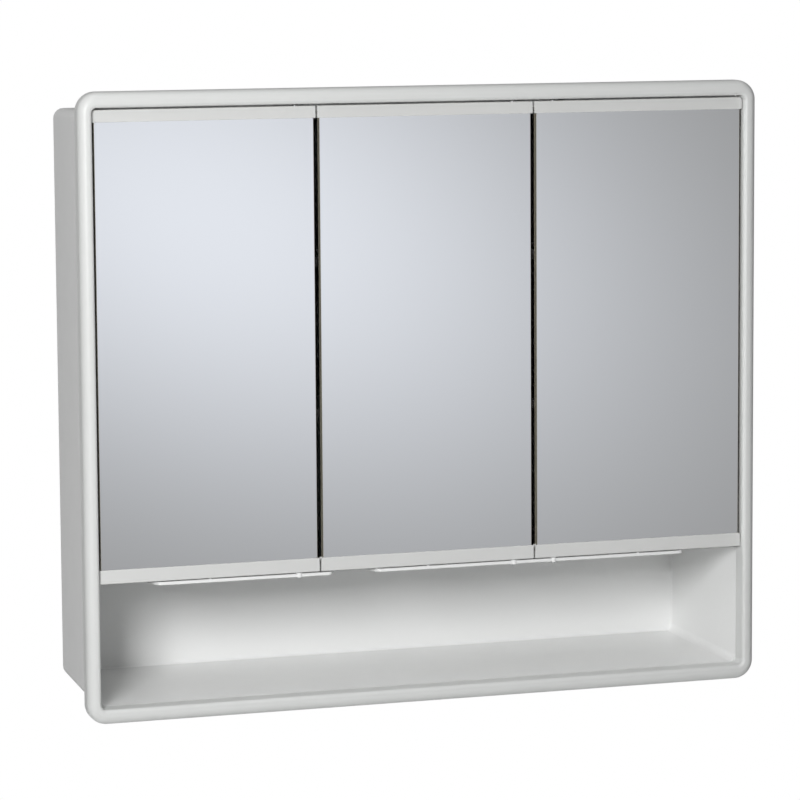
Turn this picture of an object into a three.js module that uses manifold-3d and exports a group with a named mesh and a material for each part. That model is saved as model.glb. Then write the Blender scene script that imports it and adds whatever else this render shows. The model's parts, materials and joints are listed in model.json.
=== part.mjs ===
// Three-door mirror cabinet for a bathroom wall: a moulded tub, a rounded front frame, three
// mirror doors that turn on pins, and an open niche along the bottom.
//
// Millimetres. The pieces are modelled with x = 0 on the cabinet's middle plane, y = 0 on the
// frame's foremost ridge and growing towards the wall, and z = 0 on the frame's bottom. The whole
// model is then moved so that its origin is on the wall, at the middle of the cabinet's back.

import * as THREE from 'three';
import * as BufferGeometryUtils from 'three/addons/utils/BufferGeometryUtils.js';
import Module from 'manifold-3d';

const wasm = await Module();
wasm.setup();

// ---------- driving dimensions ----------

const WIDTH = 680;
const HEIGHT = 600;
const DEPTH = 192;
const GAP = 0.3;                    // left between pieces that touch
const OVER = 1;                     // reach of a cutter or a joined piece past a surface
const ARC_STEPS = 5;                // straight steps in a quarter of a round corner
const SHORT_ARC_STEPS = 3;          // the same for small rounds
const SIDES = 20;                   // sides of a round piece
const SMALL_SIDES = 16;
const LARGE_SIDES = 24;
const WELD = 1e-4;                  // points closer than this are one

// front frame: a hollow bar, round at the front, that runs round the opening
const FRAME_DEPTH = 20;
const FRAME_SIDE = 12.8;            // width of the bar at the sides
const FRAME_TOP = 14.8;             // width of the bar at the top
const FRAME_BOTTOM = 14.8;          // width of the bar at the bottom
const FRAME_CORNER = 19;            // outer corner radius
const FRAME_INNER_CORNER = 5;
const FRAME_SKIN = 2.2;
const ROLL_WIDE = 8;                // quarter ellipse that rounds the bar's outer side
const ROLL_DEEP = 9.5;
const LIP_ROUND = 3.2;              // quarter circle beside the opening

// rear housing: a tub with drafted walls, open at the front
const WALL = 2.8;
const TUB_FRONT = FRAME_DEPTH + GAP;
const TUB_HALF_FRONT = 330;         // half of its width at the front
const TUB_HALF_REAR = 327;
const TUB_BOTTOM_FRONT = 12;
const TUB_BOTTOM_REAR = 12.6;
const TUB_TOP_MOUTH = 588;          // the mouth stands higher, so that the door tops swing in
const TUB_TOP_FRONT = 580;
const TUB_TOP_REAR = 577;
const TUB_CORNER = 10;
const TUB_REAR_ROUND = 9;           // outside, along its rear edges
const TUB_INNER_ROUND = 2.5;        // inside, along the same edges
const TUB_LEAST_CORNER = 1.5;       // of its inner surface
const MOUTH_END = 30;
const MOUTH_RAMP_END = 38;
const FLANGE_THICK = 2.4;
const FLANGE_MARGIN = 3;            // the flange stays this far inside the frame's outline

// doors
const MIRROR_WIDTH = 212.7;
const MIRROR_GAP = 5.4;             // between neighbouring mirrors
const MIRROR_THICK = 4;
const MIRROR_FACE = 8;
const MIRROR_LOW = 147.9;           // the mirror shows from here
const MIRROR_HIGH = 571.5;          // to here
const GLASS_IN_RAIL = 5.5;
const RAIL_GAP = 1.8;               // between the rails of neighbouring doors
const RAIL_FACE = 7;
const RAIL_BACK = 15;
const RAIL_LOW = 134.65;            // lowest point of the bottom rail
const RAIL_HIGH = 583.2;            // highest point of the top rail
const RAIL_CORNER = 4;              // round upper corner of the two outer doors
const RAIL_BEVEL = 0.6;
const PIVOT_INSET = 19.7;           // pin axis, from the hinged end of the rails
const PIVOT_Y = 10;
const PIN_RADIUS = 1.5;
const PIN_IN_RAIL = 5;
const PIN_HEAD = 2.6;               // radius of the lower pin's head, under the shelf
const PIN_HEAD_HIGH = 0.8;

// fixed shelf between the cupboard and the niche
const SHELF_TOP = 133.5;
const SHELF_THICK = 3;
const SHELF_FACE = 8;
const RECESS_Y = 26;                // front edge of the shelf in each finger recess
const RECESS_ENDS = [-265, -101, -47, 261];
const RECESS_CURVE = 14;            // length of the curve at each end of a recess
const BOSS_RADIUS = 2.9;            // pivot boss, moulded through the shelf's front edge
const BOSS_BELOW = 0.7;             // reach of the boss below the shelf
const NUB_LENGTH = 2.4;             // catch nub under the middle of each door
const NUB_DEPTH = 4;
const STOP_HEIGHT = 4.5;            // rib that the closed door rests against
const STOP_THICK = 1.8;
const STOP_NEAR = 24;               // ends of the rib, from the pivot
const STOP_FAR = 124;

// upper hinge bushes, in the frame's top bar
const BUSH_RADIUS = 2.4;
const BUSH_FLANGE = 2.9;
const BUSH_FLANGE_HIGH = 1.1;
const BUSH_HIGH = 5;
const PIN_ABOVE_RAIL = 5.3;

// inside of the cupboard
const PARTITION_THICK = 2.5;
const PARTITION_FRONT = 32;
const LEDGE_LEVELS = [278, 426];
const LEDGE_OUT = 6;
const LEDGE_THICK = 3;
const LEDGE_FRONT = 46;
const LEDGE_BACK = 184;
const TRAY_FRONT = 48;
const TRAY_BACK = 185;
const TRAY_THICK = 3;
const TRAY_LIP = 9;
const TRAY_LIP_THICK = 2.5;
const TRAY_SOFT = 0.8;              // bevel along the lip

// hangers, sunk in the back
const HANGER_X = 255;
const HANGER_Z = 520;
const HANGER_WIDTH = 64;
const HANGER_HEIGHT = 44;
const HANGER_DEPTH = 9;
const HANGER_THICK = 1.5;
const HANGER_SUNK = 1.5;            // from the wall to the plate
const KEY_HEAD = 6.5;               // radius of the keyhole's wide end
const KEY_SLOT = 3;                 // half of its slot's width
const KEY_DROP = 6;                 // wide end below the plate's middle
const KEY_RISE = 8;                 // slot's end above the plate's middle
const STUD_X = 24;                  // riveting studs, from the plate's middle
const STUD_RADIUS = 5;
const HANGER_RIVET = 1.6;
const HANGER_RIVET_HEAD = 3;
const HANGER_HEAD_TOP = 2.1;        // radius of the head's flat end
const HANGER_RIVET_LONG = 6.2;
const HANGER_HEAD_HIGH = 0.9;

const PITCH = MIRROR_WIDTH + MIRROR_GAP;
const RAIL_LENGTH = PITCH - RAIL_GAP;
const INNER_BACK = DEPTH - WALL;
const FRAME_INNER_TOP = HEIGHT - FRAME_TOP;

// Each door: hand is 1 where it is hinged on the left and -1 where it is hinged on the right.
function doorAt(name, hingedEnd, hand) {
  const pivot = hingedEnd + hand * PIVOT_INSET;
  const freeEnd = hingedEnd + hand * RAIL_LENGTH;
  return { name, hand, hingedEnd, pivot, freeEnd };
}

const DOORS = [
  doorAt('left', -0.5 * PITCH - RAIL_GAP / 2, -1),
  doorAt('middle', 0.5 * PITCH - RAIL_GAP / 2, -1),
  doorAt('right', 0.5 * PITCH + RAIL_GAP / 2, 1),
];

// ---------- materials ----------

const plastic = (color, roughness) => new THREE.MeshStandardMaterial({ color, roughness });
const metal = (color, roughness) =>
  new THREE.MeshStandardMaterial({ color, roughness, metalness: 1 });

const FINISH = {
  housing: () => plastic(0xd4d6d6, 0.45),
  frame: () => plastic(0xe6e8e8, 0.3),
  shelf: () => plastic(0xdfe0e0, 0.4),
  rail: () => plastic(0xe3e3e2, 0.35),
  mirror: () => metal(0xc6cad2, 0.03),
  steel: () => metal(0x9a9c9e, 0.35),
  bush: () => plastic(0x5a5b5c, 0.5),
};

// ---------- geometry helpers ----------

function toSolid(geometry) {
  const bare = geometry.index ? geometry.toNonIndexed() : geometry.clone();
  bare.deleteAttribute('normal');
  bare.deleteAttribute('uv');
  const merged = BufferGeometryUtils.mergeVertices(bare, WELD);
  const vertProperties = Float32Array.from(merged.attributes.position.array);
  const triVerts = Uint32Array.from(merged.index.array);
  return new wasm.Manifold(new wasm.Mesh({ numProp: 3, vertProperties, triVerts }));
}

function toGeometry(solid) {
  const mesh = solid.getMesh();
  const geometry = new THREE.BufferGeometry();
  geometry.setAttribute('position', new THREE.BufferAttribute(mesh.vertProperties, 3));
  geometry.setIndex(new THREE.BufferAttribute(mesh.triVerts, 1));
  geometry.computeVertexNormals();
  return geometry;
}

function join(first, ...others) {
  return toGeometry(others.reduce((solid, part) => solid.add(toSolid(part)), toSolid(first)));
}

function cut(first, ...others) {
  return toGeometry(others.reduce((solid, part) => solid.subtract(toSolid(part)), toSolid(first)));
}

function common(first, second) {
  return toGeometry(toSolid(first).intersect(toSolid(second)));
}

// a block between two opposite corners
function block(x0, y0, z0, x1, y1, z1) {
  const geometry = new THREE.BoxGeometry(Math.abs(x1 - x0), y1 - y0, z1 - z0);
  return geometry.translate((x0 + x1) / 2, (y0 + y1) / 2, (z0 + z1) / 2);
}

// an upright round bar
function upright(x, y, z0, z1, radius, sides = SIDES) {
  const geometry = new THREE.CylinderGeometry(radius, radius, z1 - z0, sides);
  return geometry.rotateX(Math.PI / 2).translate(x, y, (z0 + z1) / 2);
}

// a round bar along y
function level(x, z, y0, y1, radius, sides = SIDES) {
  const geometry = new THREE.CylinderGeometry(radius, radius, y1 - y0, sides);
  return geometry.translate(x, (y0 + y1) / 2, z);
}

// a turned piece about the z axis, from [radius, z] points
function turned(points, sides = SIDES) {
  const profile = points.map(([radius, z]) => new THREE.Vector2(radius, z));
  return new THREE.LatheGeometry(profile, sides).rotateX(Math.PI / 2);
}

function shapeOf(points) {
  return new THREE.Shape(points.map(([x, y]) => new THREE.Vector2(x, y)));
}

// a section drawn in y and z, swept along x
function alongX(section, x0, x1) {
  const depth = Math.abs(x1 - x0);
  const geometry = new THREE.ExtrudeGeometry(section, { depth, bevelEnabled: false });
  const axes = new THREE.Matrix4().makeBasis(
    new THREE.Vector3(0, 1, 0), new THREE.Vector3(0, 0, 1), new THREE.Vector3(1, 0, 0));
  return geometry.applyMatrix4(axes).translate(Math.min(x0, x1), 0, 0);
}

// an outline drawn in x and z, swept along y
function alongY(outline, y0, y1, curveSegments = ARC_STEPS) {
  const options = { depth: y1 - y0, bevelEnabled: false, curveSegments };
  return new THREE.ExtrudeGeometry(outline, options).rotateX(Math.PI / 2).translate(0, y1, 0);
}

// an outline drawn in x and y, swept along z
function alongZ(outline, z0, z1, curveSegments = ARC_STEPS) {
  const options = { depth: z1 - z0, bevelEnabled: false, curveSegments };
  return new THREE.ExtrudeGeometry(outline, options).translate(0, 0, z0);
}

// the points of an upright rectangle with round corners, at one y
function roundedRing(half, bottom, top, radius, y) {
  const corners = [
    [half - radius, bottom + radius], [half - radius, top - radius],
    [-half + radius, top - radius], [-half + radius, bottom + radius]];
  return corners.flatMap(([x, z], corner) => {
    const points = [];
    for (let i = 0; i <= ARC_STEPS; i++) {
      const angle = (corner - 1 + i / ARC_STEPS) * Math.PI / 2;
      const reachX = x + radius * Math.cos(angle);
      const reachZ = z + radius * Math.sin(angle);
      points.push(new THREE.Vector3(reachX, y, reachZ));
    }
    return points;
  });
}

// A skin through rings of equal length, in order of growing y along its outer face. Without
// `closed` its two ends are filled in; with it the last ring is joined to the first, which
// makes a loop.
function loft(rings, closed = false) {
  const count = rings[0].length;
  const index = [];
  const spans = closed ? rings.length : rings.length - 1;
  for (let r = 0; r < spans; r++) {
    const a = r * count;
    const b = ((r + 1) % rings.length) * count;
    for (let i = 0; i < count; i++) {
      const j = (i + 1) % count;
      index.push(a + i, b + i, b + j, a + i, b + j, a + j);
    }
  }
  if (!closed) {
    const last = (rings.length - 1) * count;
    for (let i = 1; i < count - 1; i++) {
      index.push(0, i, i + 1, last, last + i + 1, last + i);
    }
  }
  const positions = rings.flat().flatMap((point) => point.toArray());
  const geometry = new THREE.BufferGeometry();
  geometry.setAttribute('position', new THREE.Float32BufferAttribute(positions, 3));
  geometry.setIndex(index);
  return geometry;
}

// ---------- front frame ----------

// The bar's section, as [distance in from the outline, y]. Its outer skin rolls back in a
// quarter ellipse, its crown is near the opening, and it is hollow and open at the back.
function frameSection() {
  const lipStart = FRAME_SIDE - LIP_ROUND;
  const innerSkin = FRAME_SIDE - FRAME_SKIN;
  const roll = quarter(ARC_STEPS, (a) =>
    [ROLL_WIDE * (1 - Math.cos(a)), ROLL_DEEP * (1 - Math.sin(a))]);
  const lip = quarter(SHORT_ARC_STEPS, (a) =>
    [lipStart + LIP_ROUND * Math.sin(a), LIP_ROUND * (1 - Math.cos(a))]);
  const insideLip = [[innerSkin, LIP_ROUND], [lipStart, FRAME_SKIN]];
  const insideRoll = quarter(SHORT_ARC_STEPS, (a) =>
    [ROLL_WIDE - (ROLL_WIDE - FRAME_SKIN) * Math.sin(a),
      ROLL_DEEP - (ROLL_DEEP - FRAME_SKIN) * Math.cos(a)]);
  const outside = [[0, FRAME_DEPTH], ...roll, ...lip, [FRAME_SIDE, FRAME_DEPTH]];
  const inside = [[innerSkin, FRAME_DEPTH], ...insideLip, ...insideRoll, [FRAME_SKIN, FRAME_DEPTH]];
  return [...outside, ...inside].reverse();
}

// the points that `place` gives for angles from 0 to a quarter turn
function quarter(steps, place) {
  return Array.from({ length: steps + 1 }, (_, i) => place((i / steps) * Math.PI / 2));
}

// the rounded rectangle that lies `inset` inside the frame's outline
function frameRing(inset, y) {
  const share = inset / FRAME_SIDE;
  const radius = THREE.MathUtils.lerp(FRAME_CORNER, FRAME_INNER_CORNER, share);
  const bottom = share * FRAME_BOTTOM;
  const top = HEIGHT - share * FRAME_TOP;
  return roundedRing(WIDTH / 2 - inset, bottom, top, radius, y);
}

function frontFrame() {
  const rings = frameSection().map(([inset, y]) => frameRing(inset, y));
  const holes = DOORS.map((door) => {
    const above = FRAME_INNER_TOP + 2 * FRAME_SKIN;
    return upright(door.pivot, PIVOT_Y, FRAME_INNER_TOP - OVER, above, BUSH_RADIUS + GAP);
  });
  return cut(loft(rings, true), ...holes);
}

// ---------- rear housing ----------

function tubTop(y) {
  if (y <= MOUTH_END) return TUB_TOP_MOUTH;
  const onRamp = y <= MOUTH_RAMP_END;
  const [y0, y1] = onRamp ? [MOUTH_END, MOUTH_RAMP_END] : [MOUTH_RAMP_END, DEPTH];
  const [z0, z1] = onRamp ? [TUB_TOP_MOUTH, TUB_TOP_FRONT] : [TUB_TOP_FRONT, TUB_TOP_REAR];
  return THREE.MathUtils.mapLinear(y, y0, y1, z0, z1);
}

function tubHalf(y) {
  return THREE.MathUtils.mapLinear(y, TUB_FRONT, DEPTH, TUB_HALF_FRONT, TUB_HALF_REAR);
}

function tubBottom(y) {
  return THREE.MathUtils.mapLinear(y, TUB_FRONT, DEPTH, TUB_BOTTOM_FRONT, TUB_BOTTOM_REAR);
}

// the tub's outline at one y, drawn in by `inset`
function tubRing(y, inset) {
  const radius = Math.max(TUB_CORNER - inset, TUB_LEAST_CORNER);
  return roundedRing(tubHalf(y) - inset, tubBottom(y) + inset, tubTop(y) - inset, radius, y);
}

// the tub's outer surface drawn in by `inset`, from y = front to back, with round rear edges
function tubBody(inset, front, back, round) {
  const rings = [front, MOUTH_END, MOUTH_RAMP_END].map((y) => tubRing(y, inset));
  rings.push(...quarter(SHORT_ARC_STEPS, (angle) =>
    tubRing(back - round * (1 - Math.sin(angle)), inset + round * (1 - Math.cos(angle)))));
  return loft(rings);
}

function wallLedge(side, height) {
  const inner = side * (TUB_HALF_REAR - WALL - LEDGE_OUT);
  const outer = side * (TUB_HALF_REAR - OVER);
  return block(inner, LEDGE_FRONT, height - LEDGE_THICK, outer, LEDGE_BACK, height);
}

function hangerBlock(x, grow, y0, y1) {
  const half = HANGER_WIDTH / 2 + grow;
  const tall = HANGER_HEIGHT / 2 + grow;
  return block(x - half, y0, HANGER_Z - tall, x + half, y1, HANGER_Z + tall);
}

const HANGERS = [['left', -HANGER_X], ['right', HANGER_X]];
const STUDS = HANGERS.flatMap(([side, x]) => [[side, 'outer', x + Math.sign(x) * STUD_X],
  [side, 'inner', x - Math.sign(x) * STUD_X]]);
const PLATE_Y = DEPTH - HANGER_SUNK - HANGER_THICK;   // front of the sunk hanger plate

function rearHousing() {
  const flange = loft([frameRing(FLANGE_MARGIN, TUB_FRONT),
    frameRing(FLANGE_MARGIN, TUB_FRONT + FLANGE_THICK)]);
  const shell = join(tubBody(0, TUB_FRONT, DEPTH, TUB_REAR_ROUND), flange);
  const tub = cut(shell, tubBody(WALL, TUB_FRONT - OVER, INNER_BACK, TUB_INNER_ROUND));
  const ledges = [-1, 1].flatMap((side) => LEDGE_LEVELS.map((height) => wallLedge(side, height)));
  const floor = DEPTH - HANGER_DEPTH;
  const humps = HANGERS.map(([, x]) => hangerBlock(x, WALL, floor - WALL, DEPTH - OVER));
  const pockets = HANGERS.map(([, x]) => hangerBlock(x, 0, floor, DEPTH + OVER));
  const studs = STUDS.map(([, , x]) =>
    level(x, HANGER_Z, floor - OVER, PLATE_Y - GAP, STUD_RADIUS));
  const holes = STUDS.map(([, , x]) =>
    level(x, HANGER_Z, floor + OVER, DEPTH, HANGER_RIVET + GAP, SMALL_SIDES));
  return cut(join(cut(join(tub, ...ledges, ...humps), ...pockets), ...studs), ...holes);
}

// ---------- hangers ----------

function hangerPlate(x) {
  const back = PLATE_Y + HANGER_THICK;
  const plate = hangerBlock(x, -2 * GAP, PLATE_Y, back);
  const head = level(x, HANGER_Z - KEY_DROP, PLATE_Y - OVER, back + OVER, KEY_HEAD, LARGE_SIDES);
  const slotTop = HANGER_Z + KEY_RISE;
  const slot = block(x - KEY_SLOT, PLATE_Y - OVER, HANGER_Z - KEY_DROP, x + KEY_SLOT, back + OVER, slotTop);
  const slotEnd = level(x, slotTop, PLATE_Y - OVER, back + OVER, KEY_SLOT, SMALL_SIDES);
  const holes = [-STUD_X, STUD_X].map((offset) =>
    level(x + offset, HANGER_Z, PLATE_Y - OVER, back + OVER, HANGER_RIVET + GAP, SMALL_SIDES));
  return cut(plate, head, slot, slotEnd, ...holes);
}

// a rivet that lies along y, its head towards the wall
function hangerRivet(x) {
  const headLow = PLATE_Y + HANGER_THICK + GAP;
  const profile = [
    [0, 0], [HANGER_RIVET, 0], [HANGER_RIVET, HANGER_RIVET_LONG],
    [HANGER_RIVET_HEAD, HANGER_RIVET_LONG],
    [HANGER_HEAD_TOP, HANGER_RIVET_LONG + HANGER_HEAD_HIGH],
    [0, HANGER_RIVET_LONG + HANGER_HEAD_HIGH]];
  const lying = turned(profile, SMALL_SIDES).rotateX(-Math.PI / 2);
  return lying.translate(x, headLow - HANGER_RIVET_LONG, HANGER_Z);
}

// ---------- fixed shelf ----------

// One end of a front tongue, an s-curve between the recess and the tongue's face. It runs
// forward out of a recess where forward is 1, and back into one where it is -1.
function tongueEnd(plan, x, forward) {
  const recessed = [x - forward * RECESS_CURVE, RECESS_Y];
  const face = [x, SHELF_FACE];
  const [from, to] = forward > 0 ? [recessed, face] : [face, recessed];
  const mid = (from[0] + to[0]) / 2;
  plan.lineTo(...from);
  plan.bezierCurveTo(mid, from[1], mid, to[1], ...to);
}

// The shelf's plan: two tongues level with the doors, and a finger recess at each door's free end.
function shelfPlan() {
  const side = (y) => tubHalf(y) - WALL - GAP;
  const back = INNER_BACK - GAP;
  const corner = TUB_INNER_ROUND;
  const plan = new THREE.Shape();
  plan.moveTo(-side(RECESS_Y), RECESS_Y);
  RECESS_ENDS.forEach((x, i) => tongueEnd(plan, x, i % 2 === 0 ? 1 : -1));
  plan.lineTo(side(RECESS_Y), RECESS_Y);
  plan.lineTo(side(back), back - corner);
  plan.lineTo(side(back) - corner, back);
  plan.lineTo(-side(back) + corner, back);
  plan.lineTo(-side(back), back - corner);
  plan.closePath();
  return plan;
}

const SHELF_LOW = SHELF_TOP - SHELF_THICK;
const UNDER_RAIL = RAIL_LOW - GAP;      // bosses and nubs reach up to here
const PIVOT_BOSS_LOW = SHELF_LOW - BOSS_BELOW;

function pivotBoss(door) {
  return upright(door.pivot, PIVOT_Y, PIVOT_BOSS_LOW, UNDER_RAIL, BOSS_RADIUS, LARGE_SIDES);
}

function catchNub(door) {
  const nub = new THREE.CylinderGeometry(1, 1, NUB_DEPTH, SMALL_SIDES);
  nub.scale(NUB_LENGTH / 2, 1, UNDER_RAIL - SHELF_TOP);
  const middle = (door.hingedEnd + door.freeEnd) / 2;
  return nub.translate(middle, SHELF_FACE + NUB_DEPTH / 2, SHELF_TOP);
}

function doorStop(door) {
  const near = door.pivot + door.hand * STOP_NEAR;
  const far = door.pivot + door.hand * STOP_FAR;
  const front = RAIL_BACK + GAP;
  return block(near, front, SHELF_TOP - OVER, far, front + STOP_THICK, SHELF_TOP + STOP_HEIGHT);
}

function fixedShelf() {
  const plate = alongZ(shelfPlan(), SHELF_LOW, SHELF_TOP);
  const whole = join(plate, ...DOORS.flatMap((door) =>
    [pivotBoss(door), catchNub(door), doorStop(door)]));
  const bores = DOORS.map((door) =>
    upright(door.pivot, PIVOT_Y, PIVOT_BOSS_LOW - OVER, UNDER_RAIL + OVER, PIN_RADIUS + GAP));
  return cut(whole, ...bores);
}

// ---------- hinges ----------

// a headed pin, put in from under the shelf, that the door stands on
function lowerPin(door) {
  const under = PIVOT_BOSS_LOW - GAP;
  const high = RAIL_LOW + PIN_IN_RAIL;
  const soft = PIN_HEAD_HIGH / 2;
  const profile = [
    [0, under - PIN_HEAD_HIGH], [PIN_HEAD - soft, under - PIN_HEAD_HIGH],
    [PIN_HEAD, under - soft], [PIN_HEAD, under], [PIN_RADIUS, under], [PIN_RADIUS, high],
    [0, high]];
  return turned(profile).translate(door.pivot, PIVOT_Y, 0);
}

// a plain pin in the door's top rail
function upperPin(door) {
  const low = RAIL_HIGH - PIN_IN_RAIL + 2 * GAP;
  return upright(door.pivot, PIVOT_Y, low, RAIL_HIGH + PIN_ABOVE_RAIL, PIN_RADIUS);
}

function upperBush(door) {
  const flangeHigh = FRAME_INNER_TOP - GAP;
  const low = flangeHigh - BUSH_FLANGE_HIGH;
  const high = flangeHigh + BUSH_HIGH;
  const bore = PIN_RADIUS + GAP;
  const profile = [
    [bore, low], [BUSH_FLANGE, low], [BUSH_FLANGE, flangeHigh], [BUSH_RADIUS, flangeHigh],
    [BUSH_RADIUS, high], [bore, high], [bore, low]];
  return turned(profile).translate(door.pivot, PIVOT_Y, 0);
}

// ---------- doors ----------

const GLASS_LOW = MIRROR_LOW - GLASS_IN_RAIL;
const GLASS_HIGH = MIRROR_HIGH + GLASS_IN_RAIL;

function mirrorPane(door) {
  const margin = (RAIL_LENGTH - MIRROR_WIDTH) / 2;
  const x0 = door.hingedEnd + door.hand * margin;
  const x1 = door.freeEnd - door.hand * margin;
  return block(x0, MIRROR_FACE, GLASS_LOW, x1, MIRROR_FACE + MIRROR_THICK, GLASS_HIGH);
}

// A rail's section in y and z: `outer` is its edge away from the glass, `mouth` the edge that
// the glass goes in at, and `seat` the bottom of the groove.
function railSection(outer, mouth, seat) {
  const inward = Math.sign(mouth - outer);
  const bevel = inward * RAIL_BEVEL;
  const grooveFront = MIRROR_FACE - GAP;
  const grooveBack = MIRROR_FACE + MIRROR_THICK + GAP;
  const lipHalf = (RAIL_FACE + grooveFront) / 2;
  return shapeOf([
    [RAIL_FACE + RAIL_BEVEL, outer], [RAIL_FACE, outer + bevel], [RAIL_FACE, mouth - bevel],
    [lipHalf, mouth], [grooveFront, mouth], [grooveFront, seat], [grooveBack, seat],
    [grooveBack, mouth], [RAIL_BACK - RAIL_BEVEL, mouth], [RAIL_BACK, mouth - bevel],
    [RAIL_BACK, outer + bevel], [RAIL_BACK - RAIL_BEVEL, outer]]);
}

function bottomRail(door) {
  const section = railSection(RAIL_LOW, MIRROR_LOW, GLASS_LOW - GAP);
  const bar = alongX(section, door.hingedEnd, door.freeEnd);
  const holeTop = RAIL_LOW + PIN_IN_RAIL + GAP;
  return cut(bar, upright(door.pivot, PIVOT_Y, RAIL_LOW - OVER, holeTop, PIN_RADIUS + GAP));
}

// The outline of a top rail: an outer door has a round corner at its free end, which follows
// the frame's.
function topRailOutline(door) {
  const rounded = Math.abs(door.freeEnd) > PITCH;
  const { hingedEnd, freeEnd, hand } = door;
  const outline = new THREE.Shape();
  outline.moveTo(hingedEnd, RAIL_HIGH);
  outline.lineTo(hingedEnd, MIRROR_HIGH - OVER);
  outline.lineTo(freeEnd, MIRROR_HIGH - OVER);
  if (rounded) {
    const inside = freeEnd - hand * RAIL_CORNER;
    outline.lineTo(freeEnd, RAIL_HIGH - RAIL_CORNER);
    outline.quadraticCurveTo(freeEnd, RAIL_HIGH, inside, RAIL_HIGH);
  } else {
    outline.lineTo(freeEnd, RAIL_HIGH);
  }
  outline.closePath();
  return outline;
}

function topRail(door) {
  const section = railSection(RAIL_HIGH, MIRROR_HIGH, GLASS_HIGH + GAP);
  const bar = alongX(section, door.hingedEnd, door.freeEnd);
  const holeLow = RAIL_HIGH - PIN_IN_RAIL + GAP;
  const hole = upright(door.pivot, PIVOT_Y, holeLow, RAIL_HIGH + OVER, PIN_RADIUS + GAP);
  const outline = alongY(topRailOutline(door), RAIL_FACE - OVER, RAIL_BACK + OVER);
  return cut(common(bar, outline), hole);
}

// ---------- partitions and trays ----------

function partition(x) {
  const low = SHELF_TOP + GAP;
  const back = INNER_BACK - GAP;
  const roof = (y) => tubTop(y) - WALL - GAP;
  const corner = TUB_INNER_ROUND;
  const side = shapeOf([
    [PARTITION_FRONT, low], [back, low], [back, roof(back) - corner],
    [back - corner, roof(back)], [MOUTH_RAMP_END, roof(MOUTH_RAMP_END)],
    [PARTITION_FRONT, roof(MOUTH_RAMP_END)]]);
  const half = PARTITION_THICK / 2;
  const wall = alongX(side, x - half, x + half);
  const reach = half + LEDGE_OUT;
  const ledges = LEDGE_LEVELS.map((height) =>
    block(x - reach, LEDGE_FRONT, height - LEDGE_THICK, x + reach, LEDGE_BACK, height));
  return join(wall, ...ledges);
}

// a loose tray between x0 and x1, resting on ledges
function tray(x0, x1, height) {
  const low = height + GAP;
  const top = low + TRAY_THICK;
  const lipTop = low + TRAY_LIP;
  const lipBack = TRAY_FRONT + TRAY_LIP_THICK;
  const section = shapeOf([
    [TRAY_FRONT, low], [TRAY_BACK, low], [TRAY_BACK, top],
    [lipBack, top], [lipBack, lipTop - TRAY_SOFT], [lipBack - TRAY_SOFT, lipTop],
    [TRAY_FRONT + TRAY_SOFT, lipTop], [TRAY_FRONT, lipTop - TRAY_SOFT]]);
  return alongX(section, x0, x1);
}

// ---------- assembly ----------

const model = new THREE.Group();
const cabinet = new THREE.Group();
cabinet.position.set(0, -DEPTH, -HEIGHT / 2);
model.add(cabinet);

function addPiece(name, geometry, material, group = cabinet) {
  const mesh = new THREE.Mesh(geometry, material);
  mesh.name = name;
  group.add(mesh);
}

addPiece('rear_housing', rearHousing(), FINISH.housing());
addPiece('front_frame', frontFrame(), FINISH.frame());
addPiece('fixed_shelf', fixedShelf(), FINISH.shelf());

const PARTITION_X = PITCH / 2;
addPiece('partition_left', partition(-PARTITION_X), FINISH.shelf());
addPiece('partition_right', partition(PARTITION_X), FINISH.shelf());

const besidePartition = PARTITION_X + PARTITION_THICK / 2 + 2 * GAP;
const besideWall = tubHalf(TRAY_BACK) - WALL - 2 * GAP;
const middleHalf = PARTITION_X - PARTITION_THICK / 2 - 2 * GAP;
const BAYS = [
  ['left', -besideWall, -besidePartition],
  ['middle', -middleHalf, middleHalf],
  ['right', besidePartition, besideWall],
];
for (const [bay, x0, x1] of BAYS) {
  LEDGE_LEVELS.forEach((height, i) => {
    addPiece(`tray_${bay}_${['lower', 'upper'][i]}`, tray(x0, x1, height), FINISH.shelf());
  });
}

for (const [side, x] of HANGERS) {
  addPiece(`hanger_plate_${side}`, hangerPlate(x), FINISH.steel());
}
for (const [side, place, x] of STUDS) {
  addPiece(`hanger_rivet_${side}_${place}`, hangerRivet(x), FINISH.steel());
}

for (const door of DOORS) {
  addPiece(`lower_pin_${door.name}`, lowerPin(door), FINISH.steel());
  addPiece(`upper_bush_${door.name}`, upperBush(door), FINISH.bush());

  const leaf = new THREE.Group();
  cabinet.add(leaf);
  addPiece(`mirror_${door.name}`, mirrorPane(door), FINISH.mirror(), leaf);
  addPiece(`top_rail_${door.name}`, topRail(door), FINISH.rail(), leaf);
  addPiece(`bottom_rail_${door.name}`, bottomRail(door), FINISH.rail(), leaf);
  addPiece(`upper_pin_${door.name}`, upperPin(door), FINISH.steel(), leaf);
}

export default model;
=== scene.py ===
"""Looks for the three-door mirror cabinet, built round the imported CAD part. Lengths are in metres."""

import json
import math

import bmesh
import bpy
from mathutils import Matrix, Vector

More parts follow.
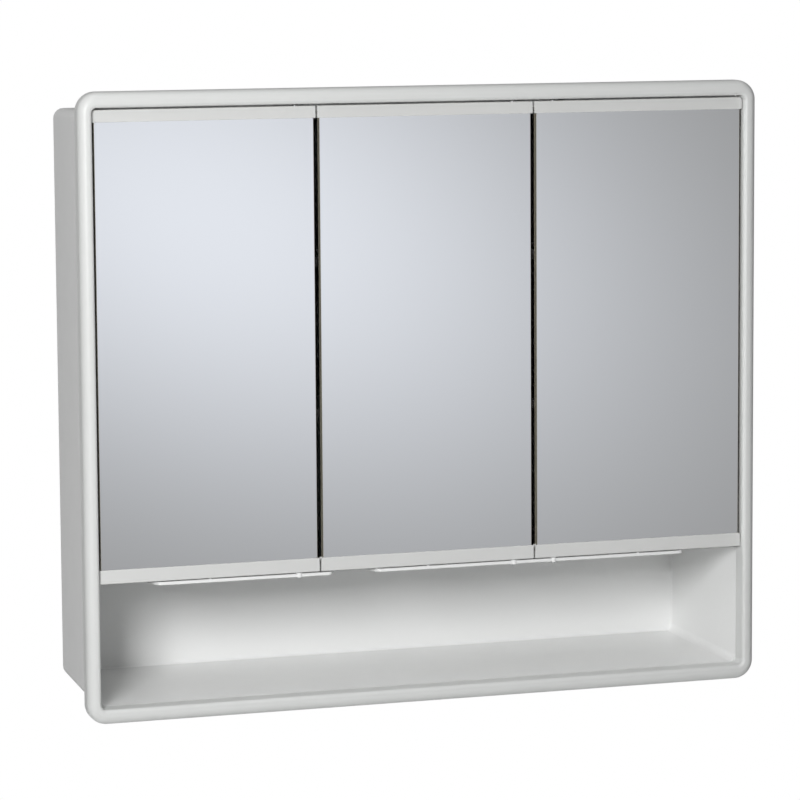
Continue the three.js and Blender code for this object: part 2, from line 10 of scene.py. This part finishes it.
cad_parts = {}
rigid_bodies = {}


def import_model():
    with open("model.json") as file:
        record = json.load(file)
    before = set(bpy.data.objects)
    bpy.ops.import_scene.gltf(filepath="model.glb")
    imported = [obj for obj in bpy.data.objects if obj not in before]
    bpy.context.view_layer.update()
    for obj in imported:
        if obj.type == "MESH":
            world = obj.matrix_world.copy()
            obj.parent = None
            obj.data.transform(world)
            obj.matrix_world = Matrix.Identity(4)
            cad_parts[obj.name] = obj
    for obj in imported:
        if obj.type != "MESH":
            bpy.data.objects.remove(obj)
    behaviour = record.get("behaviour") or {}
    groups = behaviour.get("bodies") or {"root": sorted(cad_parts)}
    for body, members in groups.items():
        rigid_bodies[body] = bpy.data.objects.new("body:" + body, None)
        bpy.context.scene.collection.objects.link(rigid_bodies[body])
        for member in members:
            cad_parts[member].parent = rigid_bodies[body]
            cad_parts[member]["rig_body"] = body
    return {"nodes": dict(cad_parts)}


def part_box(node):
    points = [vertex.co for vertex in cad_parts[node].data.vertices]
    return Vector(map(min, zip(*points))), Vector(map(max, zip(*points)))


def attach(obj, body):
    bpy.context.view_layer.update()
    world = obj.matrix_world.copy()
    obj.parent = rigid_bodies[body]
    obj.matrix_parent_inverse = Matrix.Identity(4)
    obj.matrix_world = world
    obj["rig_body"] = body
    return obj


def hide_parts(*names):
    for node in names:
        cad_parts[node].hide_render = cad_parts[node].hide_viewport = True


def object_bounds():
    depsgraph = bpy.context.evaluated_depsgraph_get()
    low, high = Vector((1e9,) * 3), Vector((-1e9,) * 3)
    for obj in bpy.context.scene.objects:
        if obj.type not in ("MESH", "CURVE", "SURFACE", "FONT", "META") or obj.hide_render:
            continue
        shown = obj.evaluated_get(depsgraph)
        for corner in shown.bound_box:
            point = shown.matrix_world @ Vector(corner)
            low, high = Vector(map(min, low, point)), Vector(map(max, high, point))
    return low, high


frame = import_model()
CAD_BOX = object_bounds()

MM = 0.001
QUARTER = math.pi / 2

# camera, in the row frame: place, then turn from +Y towards +X, tilt and roll, in radians
CAMERA_PLACE = (-1.02074, -3.45455, 0.44643)
CAMERA_TURN = 0.3084
CAMERA_TILT = -0.1172
CAMERA_ROLL = -0.0051
CAMERA_LENS = 160.6
CAMERA_SENSOR = 36
CAMERA_SHIFT = (-0.06, -0.06)

# front frame, as in the CAD
FRAME_SIDE = 12.8 * MM
FRAME_TOP = 14.8 * MM
FRAME_BOTTOM = 14.8 * MM
FRAME_CORNER = 19 * MM
FRAME_INNER_CORNER = 5 * MM
FRAME_SKIN = 2.2 * MM
ROLL_WIDE = 8 * MM
ROLL_DEEP = 9.5 * MM
LIP_ROUND = 3.2 * MM
FRAME_DEPTH = 20 * MM
FRAME_RIM = 0.5 * MM
ROLL_STEPS = 14
LIP_STEPS = 8
CORNER_STEPS = 14
BUSH_HOLE = 2.7 * MM
HOLE_MARGIN = 1 * MM

# the studio as the mirrors show it: a bright wash on grey, placed by its turn to the right of
# straight ahead of the mirrors and its rise, in degrees. It dims between two angles below level.
STUDIO_GREY = (0.30, 0.30, 0.30)
STUDIO_DARK = (0.13, 0.13, 0.13)
STUDIO_FILL = 0.6
STUDIO_DIM_FROM = 15
STUDIO_DIM_TO = 60
STUDIO_GLOW = (0.86, 0.89, 0.955)
GLOW_TURN = 13.7
GLOW_RISE = -1.7
GLOW_WIDE = 5.2
GLOW_HIGH = 3.3
GLOW_LEAN = 0.2
FLOOR_DROP = 0.9
FLOOR_RADIUS = 2.3
FLOOR_LIFT = 0.62
FLOOR_SIDES = 96

# board behind each mirror pane
BOARD_THICK = 2.6 * MM
BOARD_GLUE = 0.05 * MM
BOARD_INSET = 0.2 * MM
BOARD_MARGIN = 0.4 * MM
BOARD_EDGE = 0.3 * MM

# hinge pins
UPPER_PIN_LEAD = 0.5 * MM
LOWER_PIN_SHANK = 1.5 * MM
LOWER_PIN_LEAD = 0.4 * MM
PIN_HEAD_HIGH = 0.8 * MM
PIN_HEAD_FLAT = 0.9 * MM
PIN_HEAD_SHOULDER = 0.35 * MM
PIN_HEAD_DROP = 0.15 * MM
PIN_HEAD_RIM = 0.5 * MM
TURNED_SIDES = 40

# edge rounding of the smaller pieces
MOULDED_EDGE = 0.45 * MM
SHEET_EDGE = 0.25 * MM
GLASS_EDGE = 0.5 * MM
RAIL_EDGE = 0.3 * MM
SHARP = math.radians(32)
SAME_PLANE = math.radians(0.6)
SAME_POINT = 2e-6
SHORT_EDGE = 1e-6
ON_AXIS = 1e-7
FLAT_ON = 0.99

# refractive indices
PLASTIC_IOR = 1.49
ACETAL_IOR = 1.48
GLASS_IOR = 1.52


# ---------- meshes ----------


def welded(node):
    """A CAD node's surface as a new bmesh, its flat facets joined into whole faces."""
    source = frame["nodes"][node].data
    bm = bmesh.new()
    verts = [bm.verts.new(v.co) for v in source.vertices]
    for face in source.polygons:
        try:
            bm.faces.new([verts[i] for i in face.vertices])
        except ValueError:
            continue
    bmesh.ops.remove_doubles(bm, verts=bm.verts, dist=SAME_POINT)
    bmesh.ops.dissolve_degenerate(bm, edges=bm.edges, dist=SHORT_EDGE)
    bmesh.ops.dissolve_limit(
        bm, angle_limit=SAME_PLANE, verts=bm.verts, edges=bm.edges
    )
    bm.normal_update()
    return bm


def sharp_edges(bm):
    """The edges where two faces meet at a clear angle."""
    return [
        e for e in bm.edges if len(e.link_faces) == 2 and e.calc_face_angle(0) > SHARP
    ]


def soften(bm, width):
    """Rounds every sharp edge."""
    bmesh.ops.bevel(
        bm,
        geom=sharp_edges(bm),
        offset=width,
        offset_type="OFFSET",
        segments=2,
        profile=0.5,
        affect="EDGES",
        clamp_overlap=True,
    )


def to_object(bm, name, materials):
    """A bmesh as a smooth-shaded object, with its sharp edges kept."""
    mesh = bpy.data.meshes.new(name)
    bmesh.ops.recalc_face_normals(bm, faces=bm.faces)
    for face in bm.faces:
        face.smooth = True
    bm.to_mesh(mesh)
    bm.free()
    mesh.set_sharp_from_angle(angle=SHARP)
    piece = bpy.data.objects.new(name, mesh)
    bpy.context.scene.collection.objects.link(piece)
    for material in materials:
        mesh.materials.append(material)
    return piece


def settle(piece, node):
    """Puts a finished piece in its CAD node's place, on the body that the node rides on."""
    weighted = piece.modifiers.new("even normals", "WEIGHTED_NORMAL")
    weighted.keep_sharp = True
    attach(piece, frame["nodes"][node]["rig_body"])
    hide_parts(node)
    return piece


def softened_node(node, material, width=MOULDED_EDGE):
    """A CAD node's own shape with its sharp edges rounded."""
    bm = welded(node)
    soften(bm, width)
    return settle(to_object(bm, f"shape_{node}", [material]), node)


def lathe(bm, profile, x, y):
    """A closed turned body about an upright axis, from [radius, z] points."""
    start = [bm.verts.new((x + r, y, z)) for r, z in profile]
    loop = [bm.edges.new(pair) for pair in zip(start, start[1:])]
    bmesh.ops.spin(
        bm,
        geom=start + loop,
        cent=(x, y, 0),
        axis=(0, 0, 1),
        angle=2 * math.pi,
        steps=TURNED_SIDES,
        use_merge=True,
    )
    bmesh.ops.remove_doubles(bm, verts=bm.verts, dist=ON_AXIS)


# ---------- front frame ----------


def quarter(steps):
    """Angles from 0 to a quarter turn."""
    return [QUARTER * i / steps for i in range(steps + 1)]


def frame_section():
    """The bar's section as (distance in from the outline, distance back from its front)."""
    lip_start = FRAME_SIDE - LIP_ROUND
    inner_skin = FRAME_SIDE - FRAME_SKIN
    inner_wide, inner_deep = ROLL_WIDE - FRAME_SKIN, ROLL_DEEP - FRAME_SKIN
    roll = [
        (ROLL_WIDE * (1 - math.cos(a)), ROLL_DEEP * (1 - math.sin(a)))
        for a in quarter(ROLL_STEPS)
    ]
    lip = [
        (lip_start + LIP_ROUND * math.sin(a), LIP_ROUND * (1 - math.cos(a)))
        for a in quarter(LIP_STEPS)
    ]
    inside_roll = [
        (ROLL_WIDE - inner_wide * math.sin(a), ROLL_DEEP - inner_deep * math.cos(a))
        for a in quarter(LIP_STEPS)
    ]
    back, soft = FRAME_DEPTH, FRAME_RIM
    outer_rim = [(FRAME_SKIN - soft, back), (soft, back), (0, back - soft)]
    inner_rim = [(FRAME_SIDE, back - soft), (FRAME_SIDE - soft, back)]
    inside = [
        (inner_skin, back),
        (inner_skin, LIP_ROUND),
        (lip_start, FRAME_SKIN),
        *inside_roll,
        (FRAME_SKIN, back),
    ]
    return outer_rim + roll + lip + inner_rim + inside


def rounded_ring(low, high, radius, y):
    """Points of a round-cornered upright rectangle."""
    ring = []
    centres = [
        (high[0] - radius, low[1] + radius),
        (high[0] - radius, high[1] - radius),
        (low[0] + radius, high[1] - radius),
        (low[0] + radius, low[1] + radius),
    ]
    for corner, (x, z) in enumerate(centres):
        for i in range(CORNER_STEPS + 1):
            angle = (corner - 1 + i / CORNER_STEPS) * QUARTER
            ring.append(
                Vector((x + radius * math.cos(angle), y, z + radius * math.sin(angle)))
            )
    return ring


def front_frame(material):
    """The section lofted round the outline, with a hole for each hinge bush."""
    low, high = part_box("front_frame")
    bm = bmesh.new()
    rings = []
    for inset, depth in frame_section():
        share = inset / FRAME_SIDE
        radius = FRAME_CORNER + (FRAME_INNER_CORNER - FRAME_CORNER) * share
        ring = rounded_ring(
            (low.x + inset, low.z + share * FRAME_BOTTOM),
            (high.x - inset, high.z - share * FRAME_TOP),
            radius,
            low.y + depth,
        )
        rings.append([bm.verts.new(point) for point in ring])
    for ring, following in zip(rings, rings[1:] + rings[:1]):
        for i in range(len(ring)):
            j = (i + 1) % len(ring)
            bm.faces.new((ring[i], ring[j], following[j], following[i]))
    piece = to_object(bm, "shape_front_frame", [material])
    bore_bush_holes(piece)
    return settle(piece, "front_frame")


def bore_bush_holes(piece):
    """Opens the frame's top bar round each hinge bush."""
    bm = bmesh.new()
    for door in ("left", "middle", "right"):
        low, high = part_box(f"upper_bush_{door}")
        x, y = (low.x + high.x) / 2, (low.y + high.y) / 2
        bottom = low.z + HOLE_MARGIN
        top = high.z - HOLE_MARGIN
        profile = [(0, bottom), (BUSH_HOLE, bottom), (BUSH_HOLE, top), (0, top)]
        lathe(bm, profile, x, y)
    cutter = to_object(bm, "cutter", [])
    cut = piece.modifiers.new("bush holes", "BOOLEAN")
    cut.operation = "DIFFERENCE"
    cut.object = cutter
    cut.solver = "EXACT"
    apply_modifiers(piece)
    bpy.data.objects.remove(cutter)
    piece.data.set_sharp_from_angle(angle=SHARP)


def apply_modifiers(piece):
    """Puts the modifiers' result in the piece's own mesh."""
    graph = bpy.context.evaluated_depsgraph_get()
    made = bpy.data.meshes.new_from_object(piece.evaluated_get(graph))
    piece.modifiers.clear()
    piece.data = made


# ---------- doors ----------


def mirror(door, materials):
    """A pane with ground edges: silver seen through its front, paint on its back."""
    node = f"mirror_{door}"
    low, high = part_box(node)
    bm = welded(node)
    soften(bm, GLASS_EDGE)
    bm.normal_update()
    for face in bm.faces:
        if face.normal.y < -FLAT_ON:
            face.material_index = 0
        elif face.normal.y > FLAT_ON:
            face.material_index = 2
        else:
            face.material_index = 1
    backing_board(bm, door, low, high)
    return settle(to_object(bm, f"shape_{node}", materials), node)


def backing_board(bm, door, low, high):
    """The board behind the pane, between the rails. Its edges show in the gaps beside the doors."""
    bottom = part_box(f"bottom_rail_{door}")[1].z + BOARD_MARGIN
    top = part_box(f"top_rail_{door}")[0].z - BOARD_MARGIN
    front, back = high.y + BOARD_GLUE, high.y + BOARD_GLUE + BOARD_THICK
    size = Vector((high.x - low.x - 2 * BOARD_INSET, back - front, top - bottom))
    centre = Vector(((low.x + high.x) / 2, (front + back) / 2, (bottom + top) / 2))
    made = bmesh.ops.create_cube(
        bm, size=1, matrix=Matrix.Translation(centre) @ Matrix.Diagonal((*size, 1))
    )
    board = {face for vert in made["verts"] for face in vert.link_faces}
    edges = {edge for face in board for edge in face.edges}
    bm.normal_update()
    for face in board:
        face.material_index = 2 if face.normal.y > FLAT_ON else 3
    bmesh.ops.bevel(
        bm, geom=list(edges), offset=BOARD_EDGE, segments=2, profile=0.5, affect="EDGES"
    )


# ---------- pins, bushes and rivets ----------


def turned_piece(node, profile, material):
    """A profile turned about the upright axis of a CAD node."""
    low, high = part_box(node)
    bm = bmesh.new()
    lathe(bm, profile, (low.x + high.x) / 2, (low.y + high.y) / 2)
    return settle(to_object(bm, f"shape_{node}", [material]), node)


def pin_radius(node):
    low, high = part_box(node)
    return (high.x - low.x) / 2


def upper_pin(door, material):
    """A plain pin, chamfered at both ends."""
    node = f"upper_pin_{door}"
    low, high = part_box(node)
    radius, lead = pin_radius(node), UPPER_PIN_LEAD
    profile = [
        (0, low.z),
        (radius - lead, low.z),
        (radius, low.z + lead),
        (radius, high.z - lead),
        (radius - lead, high.z),
        (0, high.z),
    ]
    return turned_piece(node, profile, material)


def lower_pin(door, material):
    """A pin with a flat head at its foot."""
    node = f"lower_pin_{door}"
    low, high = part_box(node)
    head, shank, lead = pin_radius(node), LOWER_PIN_SHANK, LOWER_PIN_LEAD
    profile = [
        (0, low.z),
        (head - PIN_HEAD_FLAT, low.z),
        (head - PIN_HEAD_SHOULDER, low.z + PIN_HEAD_DROP),
        (head, low.z + PIN_HEAD_RIM),
        (head, low.z + PIN_HEAD_HIGH),
        (shank, low.z + PIN_HEAD_HIGH),
        (shank, high.z - lead),
        (shank - lead, high.z),
        (0, high.z),
    ]
    return turned_piece(node, profile, material)


# ---------- materials ----------


class Nodes:
    """A short way to write a node tree."""

    def __init__(self, name):
        self.material = bpy.data.materials.new(name)
        self.material.use_nodes = True
        self.tree = self.material.node_tree
        self.shader = self.tree.nodes["Principled BSDF"]
        self.place = self.tree.nodes.new("ShaderNodeTexCoord").outputs["Object"]

    def link(self, source, target):
        self.tree.links.new(source, target)

    def uniform(self, socket, value):
        self.shader.inputs[socket].default_value = value

    def noise(self, scale, detail=3, stretch=None):
        texture = self.tree.nodes.new("ShaderNodeTexNoise")
        texture.inputs["Scale"].default_value = scale
        texture.inputs["Detail"].default_value = detail
        place = self.place
        if stretch:
            mapping = self.tree.nodes.new("ShaderNodeMapping")
            mapping.inputs["Scale"].default_value = stretch
            self.link(place, mapping.inputs["Vector"])
            place = mapping.outputs["Vector"]
        self.link(place, texture.inputs["Vector"])
        return texture.outputs["Fac"]

    def ramp(self, source, low, high):
        """Spreads a 0..1 value over a range."""
        node = self.tree.nodes.new("ShaderNodeMapRange")
        node.inputs["From Min"].default_value = 0.3
        node.inputs["From Max"].default_value = 0.7
        node.inputs["To Min"].default_value = low
        node.inputs["To Max"].default_value = high
        self.link(source, node.inputs["Value"])
        return node.outputs["Result"]

    def tint(self, source, first, second):
        mix = self.tree.nodes.new("ShaderNodeMix")
        mix.data_type = "RGBA"
        mix.inputs["A"].default_value = (*first, 1)
        mix.inputs["B"].default_value = (*second, 1)
        self.link(source, mix.inputs["Factor"])
        self.link(mix.outputs["Result"], self.shader.inputs["Base Color"])

    def bump(self, source, strength, distance, after=None):
        node = self.tree.nodes.new("ShaderNodeBump")
        node.inputs["Strength"].default_value = strength
        node.inputs["Distance"].default_value = distance
        self.link(source, node.inputs["Height"])
        if after:
            self.link(after, node.inputs["Normal"])
        return node.outputs["Normal"]

    def surface(self, roughness=None, normal=None):
        if roughness:
            self.link(roughness, self.shader.inputs["Roughness"])
        if normal:
            self.link(normal, self.shader.inputs["Normal"])
        return self.material


def moulded_plastic(name, pale, deep, rough, grain):
    """White injection-moulded plastic: faint flow shading, slight waves and a fine tool grain."""
    n = Nodes(name)
    n.uniform("IOR", PLASTIC_IOR)
    n.tint(n.noise(5, 2), pale, deep)
    waves = n.bump(n.noise(70, 1), 1, 0.02 * MM)
    fine = n.bump(n.noise(750, 2), 1, grain, waves)
    roughness = n.ramp(n.noise(45, 2), rough - 0.008, rough + 0.008)
    return n.surface(roughness, fine)


def extruded_plastic(name, pale, deep, rough):
    """The rails: drawn along x, so that faint die lines run along them."""
    n = Nodes(name)
    n.uniform("IOR", PLASTIC_IOR)
    n.tint(n.noise(9, 2), pale, deep)
    lines = n.bump(n.noise(700, 2, stretch=(0.004, 1, 1)), 1, 0.004 * MM)
    waves = n.bump(n.noise(50, 1), 1, 0.015 * MM, lines)
    roughness = n.ramp(n.noise(90, 2, stretch=(0.05, 1, 1)), rough - 0.01, rough + 0.01)
    return n.surface(roughness, waves)


def silvering():
    """The mirror's face: near-perfect, with the slight waves and film of real float glass."""
    n = Nodes("silvered glass")
    n.uniform("Metallic", 1)
    n.tint(n.noise(3, 2), (0.872, 0.876, 0.876), (0.886, 0.890, 0.890))
    film = n.ramp(n.noise(7, 4), 0.012, 0.03)
    return n.surface(film, n.bump(n.noise(2.5, 1), 1, 0.01 * MM))


def ground_glass_edge():
    """The ground edge of the pane: matt glass over the paint behind it."""
    n = Nodes("ground glass edge")
    n.uniform("IOR", GLASS_IOR)
    n.uniform("Coat Weight", 0.4)
    n.uniform("Coat Roughness", 0.2)
    n.tint(n.ramp(n.noise(300, 3), 0, 1), (0.17, 0.162, 0.125), (0.22, 0.21, 0.165))
    roughness = n.ramp(n.noise(900, 3), 0.28, 0.5)
    return n.surface(roughness, n.bump(n.noise(900, 2), 1, 0.02 * MM))


def board_edge():
    """The cut edge of the backing board."""
    n = Nodes("backing board edge")
    n.tint(n.ramp(n.noise(260, 3), 0, 1), (0.36, 0.33, 0.25), (0.43, 0.395, 0.305))
    roughness = n.ramp(n.noise(400, 2), 0.6, 0.75)
    return n.surface(roughness, n.bump(n.noise(1200, 2), 1, 0.03 * MM))


def back_paint():
    """The grey paint on the mirror's back, and the back of the board."""
    n = Nodes("mirror back paint")
    n.tint(n.ramp(n.noise(20, 4), 0, 1), (0.13, 0.135, 0.14), (0.16, 0.165, 0.17))
    roughness = n.ramp(n.noise(80, 3), 0.5, 0.62)
    return n.surface(roughness, n.bump(n.noise(500, 2), 1, 0.02 * MM))


def zinc():
    """Zinc-plated steel: soft spangle and fine rolling lines."""
    n = Nodes("zinc plated steel")
    n.uniform("Metallic", 1)
    n.tint(n.ramp(n.noise(260, 3), 0, 1), (0.56, 0.57, 0.58), (0.68, 0.69, 0.69))
    lines = n.bump(n.noise(1400, 2, stretch=(1, 1, 0.04)), 1, 0.006 * MM)
    roughness = n.ramp(n.noise(320, 3), 0.26, 0.42)
    return n.surface(roughness, lines)


def acetal():
    """The hinge bushes' dark, slippery plastic."""
    n = Nodes("dark acetal")
    n.uniform("IOR", ACETAL_IOR)
    n.tint(n.ramp(n.noise(90, 2), 0, 1), (0.10, 0.10, 0.10), (0.12, 0.12, 0.12))
    roughness = n.ramp(n.noise(240, 3), 0.38, 0.5)
    return n.surface(roughness, n.bump(n.noise(700, 2), 1, 0.008 * MM))


# ---------- studio ----------


class StudioNodes:
    """A short way to write the world's node tree."""

    def __init__(self):
        made = bpy.data.worlds.new("studio")
        bpy.context.scene.world = made
        made.use_nodes = True
        self.tree = made.node_tree
        self.tree.nodes.clear()

    def node(self, kind, **values):
        created = self.tree.nodes.new(kind)
        for key, value in values.items():
            setattr(created, key, value)
        return created

    def feed(self, value, target):
        """Links an output to a socket, or sets the socket to a number or a colour."""
        if isinstance(value, bpy.types.NodeSocket):
            self.tree.links.new(value, target)
        else:
            target.default_value = value

    def maths(self, operation, *values):
        created = self.node("ShaderNodeMath", operation=operation)
        for value, target in zip(values, created.inputs):
            self.feed(value, target)
        return created.outputs[0]

    def blend(self, share, first, second):
        mix = self.node("ShaderNodeMix", data_type="RGBA")
        self.feed(share, mix.inputs["Factor"])
        self.feed(first, mix.inputs["A"])
        self.feed(second, mix.inputs["B"])
        return mix.outputs["Result"]

    def background(self, colour, strength=1):
        created = self.node("ShaderNodeBackground")
        self.feed(colour, created.inputs["Color"])
        self.feed(strength, created.inputs["Strength"])
        return created.outputs[0]


def studio_direction(n):
    """Where a ray goes: its turn to the right of straight ahead, and its rise."""
    split = n.node("ShaderNodeSeparateXYZ")
    n.feed(n.node("ShaderNodeTexCoord").outputs["Generated"], split.inputs[0])
    ahead = n.maths("MULTIPLY", split.outputs["Y"], -1)
    turn = n.maths("ARCTAN2", split.outputs["X"], ahead)
    return turn, n.maths("ARCSINE", split.outputs["Z"])


def off_middle(n, value, middle, width):
    """The square of a value's distance from the middle, counted in widths."""
    shifted = n.maths("SUBTRACT", value, math.radians(middle))
    scaled = n.maths("DIVIDE", shifted, math.radians(width))
    return n.maths("MULTIPLY", scaled, scaled)


def studio_wash(n, turn, rise):
    """The bright wash: 1 at its middle, and fading as a bell curve both ways."""
    leaning = n.maths("ADD", rise, n.maths("MULTIPLY", turn, GLOW_LEAN))
    across = off_middle(n, turn, GLOW_TURN, GLOW_WIDE)
    upwards = off_middle(n, leaning, GLOW_RISE, GLOW_HIGH)
    return n.maths("EXPONENT", n.maths("MULTIPLY", n.maths("ADD", across, upwards), -0.5))


def studio_backdrop(n, rise):
    """Grey, and darker low down."""
    steep = n.node("ShaderNodeMapRange", interpolation_type="SMOOTHSTEP")
    n.feed(math.radians(STUDIO_DIM_FROM), steep.inputs["From Min"])
    n.feed(math.radians(STUDIO_DIM_TO), steep.inputs["From Max"])
    n.feed(n.maths("MULTIPLY", rise, -1), steep.inputs["Value"])
    return n.blend(steep.outputs["Result"], (*STUDIO_GREY, 1), (*STUDIO_DARK, 1))


def world():
    """White to the camera. To the object it is the studio that the mirrors show."""
    n = StudioNodes()
    turn, rise = studio_direction(n)
    backdrop = studio_backdrop(n, rise)
    colour = n.blend(studio_wash(n, turn, rise), backdrop, (*STUDIO_GLOW, 1))
    path = n.node("ShaderNodeLightPath")
    dimmed = n.maths("MULTIPLY", path.outputs["Is Diffuse Ray"], 1 - STUDIO_FILL)
    studio = n.background(colour, n.maths("SUBTRACT", 1, dimmed))
    chosen = n.node("ShaderNodeMixShader")
    n.feed(path.outputs["Is Camera Ray"], chosen.inputs["Fac"])
    n.feed(studio, chosen.inputs[1])
    n.feed(n.background((1, 1, 1, 1)), chosen.inputs[2])
    output = n.node("ShaderNodeOutputWorld")
    n.feed(chosen.outputs[0], output.inputs["Surface"])


def softbox(name, turn, rise, distance, size, power, glossy=True):
    """A square light aimed at the object: turn is to the right of straight ahead, in degrees."""
    light = bpy.data.lights.new(name, "AREA")
    light.shape = "SQUARE"
    light.size = size
    light.energy = power
    box = bpy.data.objects.new(name, light)
    bpy.context.scene.collection.objects.link(box)
    a, e = math.radians(turn), math.radians(rise)
    out = Vector((math.sin(a) * math.cos(e), -math.cos(a) * math.cos(e), math.sin(e)))
    low, high = CAD_BOX
    box.location = (low + high) / 2 + out * distance
    box.rotation_mode = "QUATERNION"
    box.rotation_quaternion = (-out).to_track_quat("-Z", "Y")
    box.visible_camera = False
    box.visible_glossy = glossy


def floor():
    """A pale round floor well below the cabinet."""
    bm = bmesh.new()
    bmesh.ops.create_circle(bm, cap_ends=True, segments=FLOOR_SIDES, radius=FLOOR_RADIUS)
    n = Nodes("pale floor")
    n.tint(n.noise(6, 3), (0.93, 0.93, 0.93), (0.95, 0.95, 0.95))
    n.uniform("Emission Color", (1, 1, 1, 1))
    path = n.tree.nodes.new("ShaderNodeLightPath")
    lift = n.tree.nodes.new("ShaderNodeMath")
    lift.operation = "MULTIPLY"
    lift.inputs[1].default_value = FLOOR_LIFT
    n.link(path.outputs["Is Camera Ray"], lift.inputs[0])
    n.link(lift.outputs[0], n.shader.inputs["Emission Strength"])
    material = n.surface(n.ramp(n.noise(30, 3), 0.6, 0.7))
    disc = to_object(bm, "floor", [material])
    disc.location = (0, 0, CAD_BOX[0].z - FLOOR_DROP)


def camera():
    """The photo's camera, fitted to the object's straight edges."""
    data = bpy.data.cameras.new("camera")
    data.lens = CAMERA_LENS
    data.sensor_width = CAMERA_SENSOR
    data.shift_x, data.shift_y = CAMERA_SHIFT
    made = bpy.data.objects.new("camera", data)
    bpy.context.scene.collection.objects.link(made)
    level = Matrix.Rotation(-CAMERA_TURN, 4, "Z")
    tilt = Matrix.Rotation(QUARTER + CAMERA_TILT, 4, "X")
    roll = Matrix.Rotation(CAMERA_ROLL, 4, "Z")
    made.matrix_world = Matrix.Translation(CAMERA_PLACE) @ level @ tilt @ roll
    bpy.context.scene.camera = made


# ---------- assembly ----------


def cabinet_pieces(steel):
    """Everything that stays still, apart from the lower pins."""
    housing = moulded_plastic(
        "housing plastic",
        pale=(0.87, 0.875, 0.87),
        deep=(0.885, 0.89, 0.885),
        rough=0.25,
        grain=0.003 * MM,
    )
    shelf = moulded_plastic(
        "shelf plastic",
        pale=(0.84, 0.845, 0.84),
        deep=(0.86, 0.865, 0.86),
        rough=0.34,
        grain=0.003 * MM,
    )
    # Painted shade: the frame is the same white plastic as the housing, given a darker base colour so
    # that its lit front reads darker.
    frame_plastic_painted_shade = moulded_plastic(
        "frame plastic with painted shade",
        pale=(0.675, 0.685, 0.675),
        deep=(0.69, 0.70, 0.69),
        rough=0.4,
        grain=0.001 * MM,
    )
    bush = acetal()
    front_frame(frame_plastic_painted_shade)
    softened_node("rear_housing", housing)
    softened_node("fixed_shelf", shelf)
    for node in sorted(frame["nodes"]):
        if node.startswith(("partition_", "tray_")):
            softened_node(node, shelf)
        if node.startswith("hanger_"):
            softened_node(node, steel, SHEET_EDGE)
        if node.startswith("upper_bush"):
            softened_node(node, bush, SHEET_EDGE)


def door_pieces(steel):
    """The three doors, and the pins that they turn on."""
    glass = [silvering(), ground_glass_edge(), back_paint(), board_edge()]
    # Painted shade: the rails are the same white plastic as the housing, given a darker base colour so
    # that their lit fronts read darker.
    rail = extruded_plastic(
        "rail plastic with painted shade",
        pale=(0.655, 0.66, 0.65),
        deep=(0.67, 0.675, 0.665),
        rough=0.36,
    )
    for door in ("left", "middle", "right"):
        mirror(door, glass)
        softened_node(f"top_rail_{door}", rail, RAIL_EDGE)
        softened_node(f"bottom_rail_{door}", rail, RAIL_EDGE)
        upper_pin(door, steel)
        lower_pin(door, steel)


camera()
world()
softbox("key", turn=-32, rise=14, distance=2.3, size=0.55, power=37)
softbox("top fill", turn=-20, rise=68, distance=2.6, size=1.6, power=12)
softbox("rear fill", turn=180, rise=6, distance=2.6, size=1.4, power=22, glossy=False)
floor()
zinc_steel = zinc()
cabinet_pieces(zinc_steel)
door_pieces(zinc_steel)
bpy.context.scene.view_settings.view_transform = "Standard"
